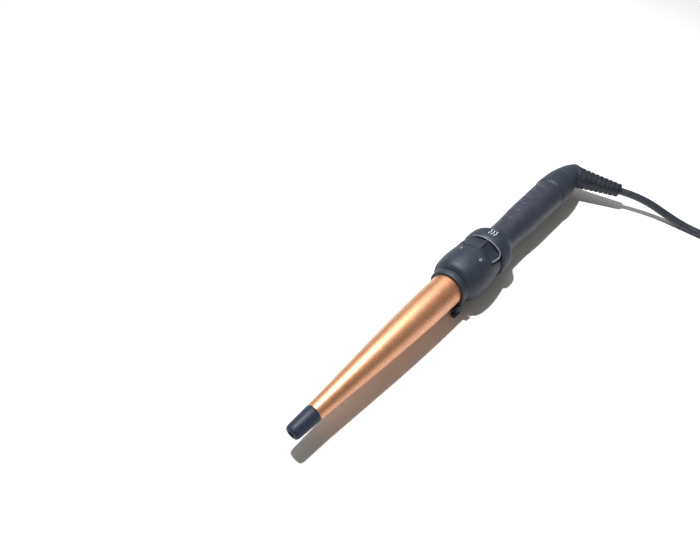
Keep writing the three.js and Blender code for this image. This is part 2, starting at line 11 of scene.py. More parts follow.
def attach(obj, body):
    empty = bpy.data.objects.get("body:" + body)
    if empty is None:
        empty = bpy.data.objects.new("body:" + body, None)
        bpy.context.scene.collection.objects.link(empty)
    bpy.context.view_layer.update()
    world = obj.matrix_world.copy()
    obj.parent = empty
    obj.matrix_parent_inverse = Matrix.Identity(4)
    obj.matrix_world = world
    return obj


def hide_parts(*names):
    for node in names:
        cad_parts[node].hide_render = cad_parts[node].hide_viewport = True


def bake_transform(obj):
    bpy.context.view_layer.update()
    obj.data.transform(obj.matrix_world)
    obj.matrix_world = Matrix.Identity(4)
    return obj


bl_info = {
    "name": "Curling wand",
    "version": (1, 0, 0),
    "blender": (4, 5, 0),
    "location": "View3D > Sidebar > Curling wand",
    "description": "Builds the barrel, handle, switch, rest, swivel and cord of a curling wand",
    "category": "Add Mesh",
}

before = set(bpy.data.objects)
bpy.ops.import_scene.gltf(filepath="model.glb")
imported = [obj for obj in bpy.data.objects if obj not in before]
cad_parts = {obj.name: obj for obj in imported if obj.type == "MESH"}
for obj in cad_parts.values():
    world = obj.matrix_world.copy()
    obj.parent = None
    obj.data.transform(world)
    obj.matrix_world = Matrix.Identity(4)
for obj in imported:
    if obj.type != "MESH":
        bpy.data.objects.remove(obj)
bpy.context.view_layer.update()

MM = 0.001
WAND_LENGTH = 355
AXIS_HEIGHT = 19.6
AXIS_POINT = (0, 0, AXIS_HEIGHT * MM)
ALONG_WAND = (1, 0, 0)

# Stations are millimetres behind the front of the cool tip.
BARREL_START = 20
BARREL_TAPER = 135
BARREL_END = 172
GRIP_START = 221.5
SWITCH_STATION = 194
SWITCH_PIN_HEIGHT = 9
ROCKER_REST = 8
ROCKER_SIZE = (10.78, 26.4)
SURROUND = (186.7, 200.9)
SURROUND_HALF = 15.3
OPENING = (188.5, 199.5)
OPENING_HALF = 13.7
REST_PIVOT = (154.3, -14.4)
BOOT_STATION = 338.4
BOOT_LEAN = 18
BOOT_DROOP = 4
# Where the strain relief's ribs start and end along its own line.
RIBS_START = 8.5
RIBS_END = 42.6

# Outside of the switch bulb, the flange behind it and the grip, as station and radius.
BULB = [(160.8, 13.7), (162.6, 15.2), (164.6, 16.8), (168, 18.2), (172.5, 19.1), (178, 19.5)]
BULB += [(184, 19.3), (190, 18.7), (196, 17.8), (200.2, 17.0)]
FLANGE = [(200.6, 16.9), (201, 18.4), (202.6, 19.1), (206, 19.25), (209.5, 19.1), (212.8, 18.3)]
FLANGE += [(216.2, 16.3), (218.9, 14.0), (221, 12.6), (224, 12.1)]
# How much fuller the bulb is on its -Y side than a turned shape, as station and millimetres.
BULGE = [(160.8, 1.3), (162.6, 2.2), (164.6, 1.7), (168, 0.9), (173, 0.4), (180, 0)]
GRIP = [(224, 12.1), (235, 12.05), (243, 12.3), (251, 12.8), (259, 13.2), (274, 13.4)]
GRIP += [(290, 13.5), (299.1, 13.5)]
GROOVE_STATIONS = (239, 250, 260, 270.5, 280, 289.5)
SCREW_STATIONS = ((178, 19.2), (208, 18.9), (254, 12.95), (287, 13.5))

# The cord's way from the strain relief to the coil, and from the coil to the plug, in millimetres.
CORD_ROUTE = [(-174.6, 42.1, 16.5), (-177.5, 51.6, 15.6), (-180.1, 60.8, 14), (-182.3, 70, 11.5)]
CORD_ROUTE += [(-184, 79.5, 8.4), (-185.1, 89, 5.7), (-185.7, 98.5, 3.9), (-186, 108, 3.2)]
CORD_ROUTE += [(-186.1, 118, 3.1), (-186.1, 128, 3.1), (-186.1, 138, 3.3), (-186, 148, 3.6)]
CORD_ROUTE += [(-186, 155, 3.8), (-186, 161.8, 4), (-186, 174, 4)]
TAIL_ROUTE = [(-136, 231.6, 10.3), (-129, 230.6, 10.2), (-121, 229.2, 9.5), (-114, 228, 8.4)]
TAIL_ROUTE += [(-108, 227.1, 6.5), (-102, 226.6, 4.8), (-96, 226.4, 3.6), (-89, 226.3, 3.3)]
TAIL_ROUTE += [(-83, 226.1, 4.2), (-78, 226, 5.7), (-74, 226, 6.4), (-70.5, 226, 6.5)]
# The coil: each turn's radius and height, and how many turns the cord makes.
COIL_CENTRE = (-143, 186)
COIL_SLOTS = [(43, 4), (37, 4), (31, 4), (25, 4), (28, 9.6), (34, 9.6), (40, 9.6), (46, 10)]
COIL_TURNS = 7.25
PLUG_BACK = -70.2
PLUG_LINE = 226
PIN_SPREAD = 9.3


def linear(text):
    """An sRGB hex colour as the linear values that Blender works in."""
    parts = [int(text[i : i + 2], 16) / 255 for i in (1, 3, 5)]
    return [c / 12.92 if c <= 0.04045 else ((c + 0.055) / 1.055) ** 2.4 for c in parts]


def at(station, radius=0.0, angle=0.0):
    """The point of the wand at a station, a distance from its axis and an angle up from its +Y side."""
    turn = math.radians(angle)
    x = WAND_LENGTH / 2 - station
    return Vector((x, radius * math.cos(turn), AXIS_HEIGHT + radius * math.sin(turn))) * MM


def station_of(point):
    return WAND_LENGTH / 2 - point.x / MM


def angle_of(point):
    return math.degrees(math.atan2(point.z / MM - AXIS_HEIGHT, point.y / MM)) % 360


def height_on(line, place):
    """The second value of a line of pairs where its first value is the place."""
    for (a, low), (b, high) in zip(line, line[1:]):
        if a <= place <= b:
            return low + (high - low) * (place - a) / max(b - a, 0.0001)
    return line[0][1] if place < line[0][0] else line[-1][1]


def bulge(station, angle):
    """How far the bulb stands out past its turned shape there, in millimetres."""
    return height_on(BULGE, station) * (0.5 + 0.5 * math.cos(math.radians(angle - 130)))


def flowing(points, parts):
    """A smooth line through all the points, each stretch cut into equal parts."""
    points = [Vector(p) for p in points]
    ends = [points[0] * 2 - points[1], *points, points[-1] * 2 - points[-2]]
    line = []
    for a, b, c, d in zip(ends, ends[1:], ends[2:], ends[3:]):
        for i in range(parts):
            t = i / parts
            bend = (a * 2 - b * 5 + c * 4 - d) * t * t + (b * 3 - a - c * 3 + d) * t**3
            line.append((b * 2 + (c - a) * t + bend) / 2)
    return [*line, points[-1]]


def spun(profile, steps, closed=False, centre=AXIS_POINT, axis=ALONG_WAND):
    """A bmesh turned full circle from points of one profile."""
    bm = bmesh.new()
    line = [bm.verts.new(p) for p in profile]
    pairs = list(zip(line, line[1:])) + [(line[-1], line[0])] * closed
    edges = [bm.edges.new(pair) for pair in pairs]
    bmesh.ops.spin(
        bm,
        geom=line + edges,
        cent=centre,
        axis=axis,
        angle=math.tau,
        steps=steps,
        use_merge=True,
        use_duplicate=False,
    )
    bmesh.ops.remove_doubles(bm, verts=bm.verts, dist=0.000001)
    bmesh.ops.recalc_face_normals(bm, faces=bm.faces)
    return bm


def turned(profile, steps=128, closed=False):
    """A bmesh turned about the wand's axis from (station, radius) points."""
    return spun([at(s, r) for s, r in profile], steps, closed)


def cut_out(outline, depth):
    """A bmesh of a flat outline of points, extruded by the vector depth."""
    bm = bmesh.new()
    face = bm.faces.new([bm.verts.new(p) for p in outline])
    made = bmesh.ops.extrude_face_region(bm, geom=[face])
    bmesh.ops.translate(bm, verts=[g for g in made["geom"] if isinstance(g, bmesh.types.BMVert)], vec=depth)
    bmesh.ops.recalc_face_normals(bm, faces=bm.faces)
    return bm


def block(size, centre):
    """A bmesh of a box, from its size in millimetres and its centre."""
    bm = bmesh.new()
    bmesh.ops.create_cube(bm, size=1)
    bmesh.ops.scale(bm, vec=Vector(size) * MM, verts=bm.verts)
    bmesh.ops.translate(bm, vec=centre, verts=bm.verts)
    return bm


def bevel(bm, edges, width, segments):
    """Rounds the given edges of the bmesh to a radius in millimetres."""
    bmesh.ops.bevel(
        bm,
        geom=edges,
        offset=width * MM,
        segments=segments,
        profile=0.5,
        affect="EDGES",
        material=-1,
        clamp_overlap=True,
    )


def round_edges(bm, width, segments=3, sharper_than=30):
    """Bevels every edge of the bmesh that turns by more than the given angle."""
    limit = math.radians(sharper_than)
    edges = [e for e in bm.edges if len(e.link_faces) == 2 and e.calc_face_angle() > limit]
    bevel(bm, edges, width, segments)


def crossways(bm):
    """The edges of the bmesh that run across the wand."""
    return [e for e in bm.edges if abs((e.verts[0].co - e.verts[1].co).y) > 0.001]


def slice_through(bm, place, normal, keep_front=False):
    """Cuts the faces of the bmesh along a plane, and drops what lies behind it if only its front is kept."""
    geometry = bm.verts[:] + bm.edges[:] + bm.faces[:]
    bmesh.ops.bisect_plane(bm, geom=geometry, plane_co=place, plane_no=normal, clear_inner=keep_front)


def rod(way, radius, resolution):
    """A bmesh of a round rod along a line of points, closed at its ends."""
    curve = bpy.data.curves.new("rod_line", "CURVE")
    curve.dimensions = "3D"
    curve.bevel_depth = radius
    curve.bevel_resolution = resolution
    curve.use_fill_caps = True
    spline = curve.splines.new("POLY")
    spline.points.add(len(way) - 1)
    for point, place in zip(spline.points, way):
        point.co = (*place, 1)
    line = bpy.data.objects.new("rod_line", curve)
    bpy.context.scene.collection.objects.link(line)
    mesh = bpy.data.meshes.new_from_object(line.evaluated_get(bpy.context.evaluated_depsgraph_get()))
    bpy.data.objects.remove(line)
    bpy.data.curves.remove(curve)
    bm = bmesh.new()
    bm.from_mesh(mesh)
    bpy.data.meshes.remove(mesh)
    bmesh.ops.remove_doubles(bm, verts=bm.verts, dist=0.00001)
    bmesh.ops.recalc_face_normals(bm, faces=bm.faces)
    return bm


def add_shape(bm, other):
    """Moves the faces of another bmesh into this one."""
    mesh = bpy.data.meshes.new("passing")
    other.to_mesh(mesh)
    other.free()
    bm.from_mesh(mesh)
    bpy.data.meshes.remove(mesh)


def piece(name, bm, material, smooth=35):
    """A new object from a bmesh, with its soft edges shaded smooth."""
    mesh = bpy.data.meshes.new(name)
    bm.to_mesh(mesh)
    bm.free()
    mesh.polygons.foreach_set("use_smooth", [True] * len(mesh.polygons))
    mesh.set_sharp_from_angle(angle=math.radians(smooth))
    for m in material if isinstance(material, (list, tuple)) else [material]:
        mesh.materials.append(m)
    made = bpy.data.objects.new(name, mesh)
    bpy.context.scene.collection.objects.link(made)
    return made


def settle(made, body, slot, *nodes):
    """Puts a piece on its body and hides the CAD nodes that it stands for. The slot argument is not used."""
    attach(made, body)
    if nodes:
        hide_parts(*nodes)
    return made


def modify(made, name, kind, **settings):
    modifier = made.modifiers.new(name, kind)
    for key, value in settings.items():
        setattr(modifier, key, value)
    return modifier


def node(tree, kind, inputs=None, **settings):
    """Adds a node with its settings. inputs gives each socket a value or the output that it is linked to."""
    made = tree.nodes.new(kind)
    for key, value in settings.items():
        setattr(made, key, value)
    for key, value in (inputs or {}).items():
        if isinstance(value, bpy.types.NodeSocket):
            tree.links.new(value, made.inputs[key])
        else:
            made.inputs[key].default_value = value
    return made


def new_material(name, metallic=0.0, **sockets):
    """A material with its shader and the object's own coordinates, ready for its patterns."""
    material = bpy.data.materials.new(name)
    material.use_nodes = True
    tree = material.node_tree
    shader = next(n for n in tree.nodes if n.type == "BSDF_PRINCIPLED")
    shader.inputs["Metallic"].default_value = metallic
    for key, value in sockets.items():
        shader.inputs[key.replace("_", " ")].default_value = value
    place = node(tree, "ShaderNodeTexCoord").outputs["Object"]
    return material, tree, shader, place


def spread(tree, value, ends, start=0.3, stop=0.7):
    """The value's range from start to stop, spread over the range between the two ends."""
    inputs = {"Value": value, "From Min": start, "From Max": stop, "To Min": ends[0], "To Max": ends[1]}
    return node(tree, "ShaderNodeMapRange", inputs).outputs[0]


def noise(tree, place, size, detail):
    """A noise of patches of a size in millimetres."""
    inputs = {"Vector": place, "Scale": 1 / (size * MM), "Detail": detail}
    return node(tree, "ShaderNodeTexNoise", inputs).outputs["Fac"]


def dress(tree, shader, share, tones, roughness, height, relief):
    """Gives the shader its two tones, its roughness and a grain of a relief in millimetres."""
    inputs = {0: share, 6: (*linear(tones[0]), 1), 7: (*linear(tones[1]), 1)}
    tone = node(tree, "ShaderNodeMix", inputs, data_type="RGBA")
    bumps = node(tree, "ShaderNodeBump", {"Strength": 1.0, "Distance": relief * MM, "Height": height})
    tree.links.new(tone.outputs[2], shader.inputs["Base Color"])
    tree.links.new(roughness, shader.inputs["Roughness"])
    tree.links.new(bumps.outputs[0], shader.inputs["Normal"])


def moulded(name, dark, light, roughness, grain, relief, patch=9.0, **sockets):
    """A moulded plastic or rubber: a drift of tone in patches, and a fine moulded grain, in millimetres."""
    material, tree, shader, place = new_material(name, **sockets)
    drift = noise(tree, place, patch, 3)
    grains = noise(tree, place, grain, 2)
    both = node(tree, "ShaderNodeMath", {0: drift, 1: grains}, operation="ADD").outputs[0]
    share = spread(tree, both, (0, 1), 0.75, 1.25)
    dress(tree, shader, share, (dark, light), spread(tree, drift, roughness), grains, relief)
    return material


def metal(name, dark, light, roughness, streak, relief, **sockets):
    """A bare metal part: its own colour, with tool marks around the part at the given spacing."""
    material, tree, shader, place = new_material(name, metallic=1.0, **sockets)
    drift = noise(tree, place, 3, 3)
    marks = noise(tree, place, streak, 2)
    dress(tree, shader, drift, (dark, light), spread(tree, marks, roughness), marks, relief)
    return material


def copper_flake_coat():
    """Ceramic coat with copper flake, sprayed and baked: a broad soft sheen, a fine glitter of flakes,
    and faint rings left by the turning under it near the tip."""
    glaze = {"Coat_Weight": 0.4, "Coat_Roughness": 0.4}
    material, tree, shader, place = new_material("ceramic_coat_copper_flake", metallic=0.9, **glaze)
    tint = bpy.context.scene.wand_finishes.copper
    # Real flakes are about 0.1 mm; they are drawn at 0.3 mm so that their glitter shows.
    flake = node(tree, "ShaderNodeTexVoronoi", {"Vector": place, "Scale": 1 / (0.3 * MM)}, feature="F1")
    parts = node(tree, "ShaderNodeSeparateColor", {0: flake.outputs["Color"]})
    bright = spread(tree, parts.outputs[0], (0.66, 1.24), 0, 1)
    lift = spread(tree, noise(tree, place, 14, 3), (0.94, 1.05))
    strength = node(tree, "ShaderNodeMath", {0: bright, 1: lift}, operation="MULTIPLY").outputs[0]
    colour = node(tree, "ShaderNodeVectorMath", {0: tuple(tint), "Scale": strength}, operation="SCALE")
    dull = spread(tree, parts.outputs[1], (0.42, 0.53), 0, 1)
    rings = node(
        tree,
        "ShaderNodeTexWave",
        {"Vector": place, "Scale": 1 / (7 * MM), "Distortion": 0.6, "Detail": 1},
        wave_type="BANDS",
        bands_direction="X",
    )
    tilt = node(tree, "ShaderNodeBump", {"Strength": 0.5, "Distance": 0.02 * MM, "Height": parts.outputs[2]})
    lathe = node(
        tree,
        "ShaderNodeBump",
        {"Strength": 0.3, "Distance": 0.01 * MM, "Height": rings.outputs["Fac"], "Normal": tilt.outputs[0]},
    )
    tree.links.new(colour.outputs[0], shader.inputs["Base Color"])
    tree.links.new(dull, shader.inputs["Roughness"])
    tree.links.new(lathe.outputs[0], shader.inputs["Normal"])
    return material


# Each slot's material: what it is made of and how, and what that gives the eye.
FINISHES = {
    "barrel_copper": copper_flake_coat,
    # Heat-resistant moulding: dark navy with a soft sheen.
    "tip_gloss": lambda: moulded(
        "satin_pps_navy", "#232B3B", "#2C3446", (0.46, 0.56), 0.8, 0.002, Specular_IOR_Level=0.3
    ),
    # Spark-eroded ABS housing: dark slate with broad soft highlights.
    "housing_satin": lambda: moulded("satin_abs_slate", "#1E2632", "#28303E", (0.52, 0.62), 0.6, 0.006),
    # Soft-touch lacquer: dark grey, no sharp highlights.
    "grip_soft": lambda: moulded("soft_touch_lacquer_grey", "#262A36", "#313542", (0.48, 0.58), 0.7, 0.012),
    # Satin moulding of the switch rocker and its surround.
    "switch_black": lambda: moulded("satin_abs_black", "#1D232E", "#272D39", (0.42, 0.52), 0.8, 0.004),
    # Bead of the switch surround: black moulding coloured light grey as a painted highlight along its edge,
    # with a satin face.
    "rim_grey": lambda: moulded("satin_abs_painted_highlight_grey", "#6C727B", "#868C95", (0.35, 0.45), 0.8, 0.001),
    # Soft PVC sheath: slightly shiny, with faint drawing lines.
    "cord_pvc": lambda: moulded("soft_pvc_black", "#20242E", "#2B3039", (0.4, 0.52), 0.9, 0.01),
    # Moulded PVC plug: matte with a fine grain.
    "plug_plastic": lambda: moulded("moulded_pvc_plug", "#191B1F", "#24262B", (0.42, 0.56), 0.5, 0.012),
    # Rubber strap: dull, a little dusty.
    "tie_rubber": lambda: moulded("rubber_strap", "#1C1C1E", "#2A2A2C", (0.6, 0.75), 0.6, 0.015),
    # Zinc-plated steel: cool grey with a soft shine.
    "screw_steel": lambda: metal("zinc_plated_steel", "#8E9093", "#B9BCBF", (0.22, 0.38), 0.5, 0.004),
    # Steel screw in the cool tip, coloured dark as painted shade of the recess it sits in, with a dull
    # shine.
    "screw_black": lambda: metal("steel_painted_shade", "#24262A", "#34373C", (0.4, 0.55), 0.5, 0.004),
    # Drawn brass: warm yellow, faintly streaked.
    "brass": lambda: metal("drawn_brass", "#B99550", "#D6B873", (0.2, 0.34), 0.6, 0.004),
    # Cast aluminium: pale and dull, with a sandy skin.
    "aluminium": lambda: metal("cast_aluminium", "#A9ABAE", "#C6C8CA", (0.42, 0.6), 0.7, 0.02),
    # Fired ceramic: off-white and matte, with a fine grit.
    "ceramic": lambda: moulded("fired_alumina", "#DAD5CA", "#EAE6DC", (0.55, 0.7), 0.6, 0.01),
    # Phenolic moulding: brown, with pale filler showing in it.
    "phenolic": lambda: moulded("phenolic_brown", "#4A2F1E", "#66452F", (0.4, 0.55), 0.5, 0.008, patch=3),
    # Solder-masked board: green with the weave of the glass under it.
    "board_green": lambda: moulded(
        "solder_mask_green", "#1F5F33", "#2C7845", (0.25, 0.4), 0.5, 0.006, patch=2
    ),
    # Moulded component cases: black epoxy.
    "component_black": lambda: moulded(
        "epoxy_case_black", "#1A1E22", "#2A2F34", (0.4, 0.55), 0.4, 0.008, patch=3
    ),
    # Silicone-insulated leads.
    "lead_red": lambda: moulded("silicone_lead_red", "#86201B", "#A83028", (0.4, 0.55), 0.6, 0.006, patch=4),
    "lead_blue": lambda: moulded(
        "silicone_lead_blue", "#1F3F86", "#2C55A8", (0.4, 0.55), 0.6, 0.006, patch=4
    ),
    # Pad-printed ink: light grey, slightly worn.
    "print_ink": lambda: moulded("pad_print_grey", "#B4B8BD", "#D5D8DB", (0.45, 0.6), 0.4, 0.004, patch=2),
}
made_finishes = {}


def finish(slot):
    """The material of a slot, made the first time that it is asked for."""
    if slot not in made_finishes:
        made_finishes[slot] = FINISHES[slot]()
    return made_finishes[slot]


class WandSizes(bpy.types.PropertyGroup):
    """Sizes of the wand that a user would change."""

    cord_length: FloatProperty(
        name="Cord length",
        description="Mains cord from the strain relief to the plug",
        default=1.79,
        min=0.5,
        max=4,
        unit="LENGTH",
    )
    cord_diameter: FloatProperty(
        name="Cord diameter", description="Outside of the cord's sheath", default=0.006, unit="LENGTH"
    )
    tip_radius: FloatProperty(
        name="Barrel radius at the tip",
        description="Where the cool tip meets the barrel",
        default=0.0062,
        unit="LENGTH",
    )
    barrel_radius: FloatProperty(
        name="Barrel radius at the collar",
        description="Where the barrel enters the collar",
        default=0.0125,
        unit="LENGTH",
    )
    groove_depth: FloatProperty(
        name="Grip groove depth",
        description="Depth of the short grooves on the grip",
        default=0.0011,
        unit="LENGTH",
    )
    boot_ribs: IntProperty(
        name="Strain relief ribs",
        description="Number of ribs on the strain relief",
        default=17,
        min=4,
        max=24,
    )


class WandFinishes(bpy.types.PropertyGroup):
    """Colours of the wand and its stage that a user would change."""

    copper: FloatVectorProperty(
        name="Barrel copper",
        description="Colour of the barrel's ceramic coat",
        subtype="COLOR",
        size=3,
        min=0,
        max=1,
        default=linear("#DB9F77"),
    )
    floor: FloatVectorProperty(
        name="Floor",
        description="Colour of the studio floor",
        subtype="COLOR",
        size=3,
        min=0,
        max=1,
        default=linear("#FAFBFC"),
    )


class WAND_OT_stage(bpy.types.Operator):
    """Make the camera, the studio lights and the floor"""

    bl_idname = "wand.stage"
    bl_label = "Stage"

    def execute(self, context):
        scene = context.scene
        camera = bpy.data.objects.new("camera", bpy.data.cameras.new("camera"))
        scene.collection.objects.link(camera)
        camera.data.sensor_width = 36
        camera.data.lens = 26.75
        camera.data.shift_y = 0.0523
        camera.data.clip_start = 0.01
        camera.data.clip_end = 20
        right = Vector((-0.67823, 0.73485, 0))
        upward = Vector((-0.57703, -0.53258, 0.61919))
        forward = Vector((-0.45501, -0.41995, -0.78524))
        turn = Matrix((right, upward, -forward)).transposed().to_4x4()
        camera.matrix_world = Matrix.Translation((0.2529, 0.1175, 0.3036)) @ turn
        scene.camera = camera

        world = bpy.data.worlds.new("studio")
        scene.world = world
        world.use_nodes = True
        sky = world.node_tree.nodes["Background"]
        sky.inputs["Color"].default_value = (*linear("#FFF8EB"), 1)
        sky.inputs["Strength"].default_value = 0.2
        scene.view_settings.view_transform = "Standard"

        self.lamp(scene, "key", (0.03, -0.20, 0.74), (-0.25, -0.35, 0), 0.05, 10.3, "#FBFCFF")
        self.lamp(scene, "far_fill", (-0.55, -0.6, 1.1), (-0.6, -0.6, 0), 0.9, 3.0, "#F8FAFF")

        bm = bmesh.new()
        bmesh.ops.create_grid(bm, x_segments=8, y_segments=8, size=4)
        floor = piece("floor", bm, self.paper())
        return {"FINISHED"}

    def lamp(self, scene, name, place, target, size, power, colour):
        """Adds a square area light that points at the target."""
        light = bpy.data.lights.new(name, "AREA")
        light.size = size
        light.energy = power
        light.color = linear(colour)
        lamp = bpy.data.objects.new(name, light)
        scene.collection.objects.link(lamp)
        lamp.location = place
        lamp.rotation_mode = "QUATERNION"
        lamp.rotation_quaternion = (Vector(target) - Vector(place)).to_track_quat("-Z", "Y")
        return lamp

    def paper(self):
        """Matte white studio paper, with the faintest drift of tone."""
        material, tree, shader, place = new_material("studio_paper_white", Roughness=0.85)
        floor = bpy.context.scene.wand_finishes.floor
        cloud = node(tree, "ShaderNodeTexNoise", {"Vector": place, "Scale": 3.0, "Detail": 2})
        level = spread(tree, cloud.outputs["Fac"], (0.985, 1), 0, 1)
        tone = node(tree, "ShaderNodeVectorMath", {0: tuple(floor), "Scale": level}, operation="SCALE")
        tree.links.new(tone.outputs[0], shader.inputs["Base Color"])
        return material


def boot_axis():
    """Where the strain relief's line starts, and its direction."""
    lean, droop = math.radians(BOOT_LEAN), math.radians(BOOT_DROOP)
    level = math.cos(droop)
    return at(BOOT_STATION), Vector((-math.sin(lean) * level, math.cos(lean) * level, -math.sin(droop)))


class WAND_OT_swivel(bpy.types.Operator):
    """Make the swivel head and the ribbed strain relief"""

    bl_idname = "wand.swivel"
    bl_label = "Swivel head and strain relief"

    def execute(self, context):
        start, along = boot_axis()
        aside = along.cross(Vector((0, 0, 1))).normalized()

        dome = flowing([(322.5, 12.8), (326.5, 12.15), (331.5, 11.1), (336.5, 9.9)], 4)
        end = [(341, 8.5), (345.5, 6.9), (349.5, 5.1), (351.8, 3.3), (352.9, 1.5), (353.2, 0.02)]
        dome += flowing(end, 4)[:-1]
        bm = turned([(322.2, 0), (322.2, 12.5), *dome, (353.2, 0)], 96)
        sleeve = [(-7, 0), (-6, 3.5), (-3.5, 6.6), (0, 8.7), (3, 9.3), (6, 9.15), (8.7, 8.8), (8.7, 0)]
        stub = spun([start + (along * t + aside * r) * MM for t, r in sleeve], 96, centre=start, axis=along)
        add_shape(bm, stub)
        head = piece("swivel_head_cover", bm, finish("housing_satin"))
        modify(head, "fuse", "REMESH", mode="VOXEL", voxel_size=0.00042, use_smooth_shade=True)
        modify(head, "soften", "SMOOTH", factor=0.5, iterations=5)
        graph = context.evaluated_depsgraph_get()
        fused = bpy.data.meshes.new_from_object(head.evaluated_get(graph))
        head.modifiers.clear()
        head.data = fused
        fused.polygons.foreach_set("use_smooth", [True] * len(fused.polygons))
        bm = bmesh.new()
        bm.from_mesh(fused)
        corner = start + along * 5 * MM
        for _ in range(8):
            near = [v for v in bm.verts if (v.co - corner).length < 17 * MM]
            near = [v for v in near if 6.5 < self.from_line(v.co, start, along) < 13]
            bmesh.ops.smooth_vert(
                bm, verts=near, factor=0.5, use_axis_x=True, use_axis_y=True, use_axis_z=True
            )
        bm.to_mesh(fused)
        bm.free()
        settle(head, "swivel", "housing_satin", "swivel_head")

        self.boot(context.scene.wand_sizes.boot_ribs, start, along, aside)
        return {"FINISHED"}

    def boot(self, ribs, start, along, aside):
        """The strain relief: a cone with short slots pressed in between its ribs."""
        length = RIBS_END - RIBS_START
        rows = [RIBS_START + length * i / (ribs * 10) for i in range(ribs * 10 + 1)]
        profile = [(RIBS_START, 2.5), *((t, self.cone(t)) for t in rows)]
        profile += [(43.2, 5.45), (43.8, 5.0), (44, 4.4), (44, 3.02), (30, 3.02)]
        bm = spun([start + (along * t + aside * r) * MM for t, r in profile], 96, True, start, along)
        up = aside.cross(along)
        for v in bm.verts:
            off = v.co - start
            reach = off.dot(along) / MM
            out = off - along * off.dot(along)
            if not RIBS_START + 0.01 < reach < RIBS_END - 0.01 or out.length / MM < 4:
                continue
            share = (reach - RIBS_START) / length
            row = (reach - RIBS_START) / (length / ribs)
            turn = math.degrees(math.atan2(out.dot(up), out.dot(aside))) % 180
            web = abs(turn - (45 if int(row) % 2 else 135)) < 20
            in_slot = 0.55 < row % 1 < 0.95
            if in_slot and not web:
                v.co -= out.normalized() * (0.75 + 0.4 * share) * MM
        boot = piece("strain_relief", bm, finish("cord_pvc"), 50)
        settle(boot, "swivel", "cord_pvc", "cord_boot")

    def from_line(self, point, start, along):
        """How far a point is from a line, in millimetres."""
        off = point - start
        return (off - along * off.dot(along)).length / MM

    def cone(self, reach):
        """The strain relief's outer radius at a reach along its line."""
        share = (reach - RIBS_START) / (RIBS_END - RIBS_START)
        return 8.8 - 3.2 * share**0.9


class WAND_OT_cord(bpy.types.Operator):
    """Make the mains cord with its coil, tie and plug"""

    bl_idname = "wand.cord"
    bl_label = "Mains cord"

    def execute(self, context):
        sizes = context.scene.wand_sizes
        way = [p * MM for p in self.route()]
        cord = piece("mains_cord_sheath", rod(way, sizes.cord_diameter / 2, 4), finish("cord_pvc"), 60)
        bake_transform(cord)
        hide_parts("mains_cord", "mains_cord_tail", "cord_coil")

        tie = self.tie()
        plug = self.plug()
        pins = [self.pin(n, side) for n, side in ((1, -1), (2, 1))]
        return {"FINISHED"}

    def route(self):
        """The cord's centreline in millimetres, from the strain relief to the plug."""
        arriving = flowing(CORD_ROUTE, 3)
        around = []
        steps = 40
        for i in range(int(COIL_TURNS * steps) + 1):
            radius, height = self.slot_at(i / steps)
            angle = math.pi - math.tau * i / steps
            reach = Vector((radius * math.cos(angle), radius * math.sin(angle), height))
            around.append(Vector((*COIL_CENTRE, 0)) + reach)
        leaving = flowing([around[-1], *TAIL_ROUTE], 3)
        return [*arriving, *around, *leaving[1:]]

    def slot_at(self, turn):
        """The cord's radius and height in the coil: a turn keeps its place, then moves to the next one."""
        place = min(int(turn), len(COIL_SLOTS) - 1)
        after = min(place + 1, len(COIL_SLOTS) - 1)
        climbs = COIL_SLOTS[after][1] > COIL_SLOTS[place][1]
        begin, end = (0.6, 0.88) if climbs else (0.7, 0.98)
        share = min(max((turn - place - begin) / (end - begin), 0), 1)
        share = share * share * (3 - 2 * share)
        (r1, z1), (r2, z2) = COIL_SLOTS[place], COIL_SLOTS[after]
        hump = 3.2 * share * (1 - share) if z1 > 5 and after > place else 0
        return r1 + (r2 - r1) * share, z1 + (z2 - z1) * share + hump

    def tie(self):
        """A flat rubber strap round one side of the coil."""
        outline = [(20.6, 0.15), (47.2, 0.15), (47.2, 13.25), (20.6, 13.25)]
        x, y = COIL_CENTRE
        bm = cut_out([Vector((x + r, y - 4, z)) * MM for r, z in outline], (0, 8 * MM, 0))
        bevel(bm, crossways(bm), 3, 6)
        ends = [f for f in bm.faces if abs(f.normal.y) > 0.9]
        bmesh.ops.delete(bm, geom=ends, context="FACES_ONLY")
        bmesh.ops.recalc_face_normals(bm, faces=bm.faces)
        tie = piece("cord_strap", bm, finish("tie_rubber"))
        modify(tie, "thickness", "SOLIDIFY", thickness=0.7 * MM, offset=-1)
        modify(tie, "edges", "BEVEL", width=0.15 * MM, segments=2, limit_method="ANGLE")
        return settle(tie, "wand", "tie_rubber", "coil_tie")

    def plug(self):
        """A two-pin plug body with a ribbed entry for the cord."""
        back, line = PLUG_BACK, PLUG_LINE
        half = [(0, 5), (10, 6.2), (14, 7.2), (17, 10.2), (20, 13.4), (24, 14.8), (28, 15), (34, 15)]
        outline = [(back + a, line + b) for a, b in half] + [(back + a, line - b) for a, b in reversed(half)]
        bm = cut_out([Vector((x, y, 0.05)) * MM for x, y in outline], (0, 0, 12.9 * MM))
        round_edges(bm, 1.8, 5, 60)
        for i in range(4):
            rib = block((1.1, 12.9, 12), Vector((back + 2.2 + i * 2.4, line, 6.5)) * MM)
            round_edges(rib, 0.35, 2, 60)
            add_shape(bm, rib)
        bmesh.ops.recalc_face_normals(bm, faces=bm.faces)
        body = piece("mains_plug", bm, finish("plug_plastic"), 40)
        return settle(body, "wand", "plug_plastic", "plug_body")

    def pin(self, number, side):
        """A plated plug pin with a rounded end."""
        x = PLUG_BACK + 33.5
        centre = Vector((x, PLUG_LINE + side * PIN_SPREAD, 6.5)) * MM
        profile = [(0, 0), (0, 2), (17.4, 2), (18.5, 1.75), (19.2, 1.1), (19.5, 0)]
        line = [centre + Vector((a, b, 0)) * MM for a, b in profile]
        pin = piece(f"mains_pin_{number}", spun(line, 32, centre=centre), finish("screw_steel"))
        return settle(pin, "wand", "screw_steel", f"plug_pin_{number}")


